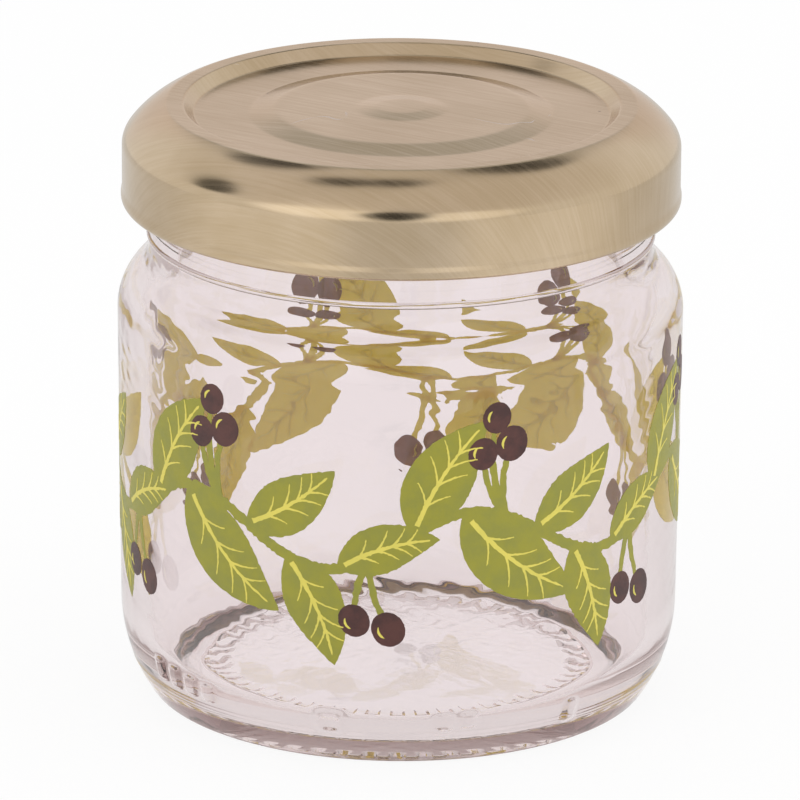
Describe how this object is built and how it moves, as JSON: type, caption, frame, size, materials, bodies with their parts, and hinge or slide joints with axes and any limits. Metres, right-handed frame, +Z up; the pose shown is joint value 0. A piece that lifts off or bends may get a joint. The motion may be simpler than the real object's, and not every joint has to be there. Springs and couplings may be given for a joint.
{
  "type": "spice jar",
  "caption": "Small clear glass spice jar with a rounded shoulder and a pressed gold twist-off lid that unscrews, seals on a soft ring and has a snapping safety button.",
  "frame": {"origin": "middle of the base, on the surface that the jar stands on", "axes": "+Z up along the jar's axis, -Y towards the side that the picture shows"},
  "size_m": [0.0568, 0.0568, 0.0606],
  "materials": {
    "clear_glass": "clear moulded glass with a faint pink-grey tint",
    "gold_tinplate": "satin gold lacquer over brushed tinplate",
    "seal_compound": "soft matte off-white compound",
    "green_print": "fired olive green enamel",
    "yellow_print": "fired pale yellow enamel",
    "brown_print": "fired dark brown enamel"
  },
  "bodies": {
    "jar": {"glass_jar": "clear_glass"},
    "seal": {"lid_gasket": "seal_compound"},
    "lid": {"lid_shell": "gold_tinplate"},
    "button": {"safety_button": "gold_tinplate"}
  },
  "joints": [
    {"name": "lid_lift", "type": "slide", "parent": "jar", "child": "seal", "axis": [0, 0, 1], "range_m": [0, 0.0141]},
    {"name": "lid_twist", "type": "hinge", "parent": "seal", "child": "lid", "pos_m": [0, 0, 0.0506], "axis": [0, 0, 1], "range_deg": [0, 360]},
    {"name": "button_snap", "type": "slide", "parent": "lid", "child": "button", "axis": [0, 0, 1], "range_m": [-0.0005, 0], "stiffness_N_per_m": 1500}
  ],
  "couplings": [
    {"joint": "lid_lift", "follows": "lid_twist", "m_per_rad": 0.0022282}
  ]
}
